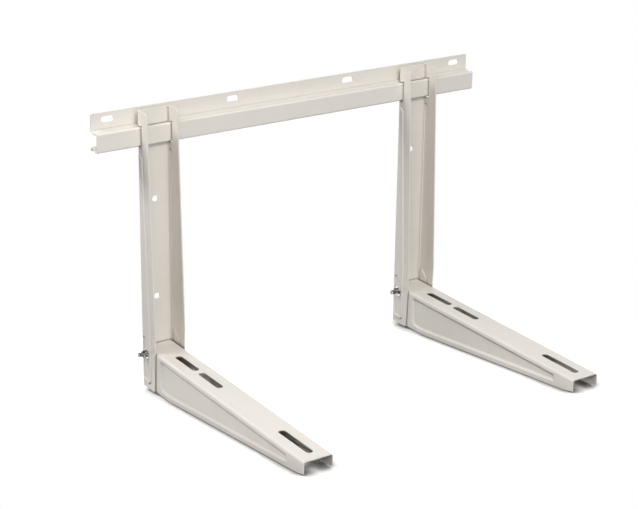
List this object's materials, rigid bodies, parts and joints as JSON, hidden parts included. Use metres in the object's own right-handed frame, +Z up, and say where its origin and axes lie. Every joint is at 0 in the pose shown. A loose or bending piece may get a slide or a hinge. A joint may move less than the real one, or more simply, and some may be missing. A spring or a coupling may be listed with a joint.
{
  "type": "air conditioner outdoor unit bracket",
  "caption": "Folded steel wall bracket: a slotted bar with hanging uprights that carry slotted, tapered arms for an air conditioner's outdoor unit.",
  "frame": {"origin": "on the wall, at the middle of the line of slots in the bar's wall flange", "axes": "+X along the bar, +Y into the wall, +Z up; the arms point to -Y"},
  "size_m": [0.8, 0.53, 0.5125],
  "materials": {
    "white_paint": "semi-gloss powder paint",
    "bright_zinc": "bright zinc plating"
  },
  "bodies": {
    "root": {"wall_bar": "white_paint", "left_upright": "white_paint", "right_upright": "white_paint", "left_arm": "white_paint", "right_arm": "white_paint", "left_arm_bolt": "bright_zinc", "left_arm_nut": "bright_zinc", "left_nut_washer": "bright_zinc", "left_head_washer": "bright_zinc", "right_arm_bolt": "bright_zinc", "right_arm_nut": "bright_zinc", "right_nut_washer": "bright_zinc", "right_head_washer": "bright_zinc"}
  },
  "joints": []
}
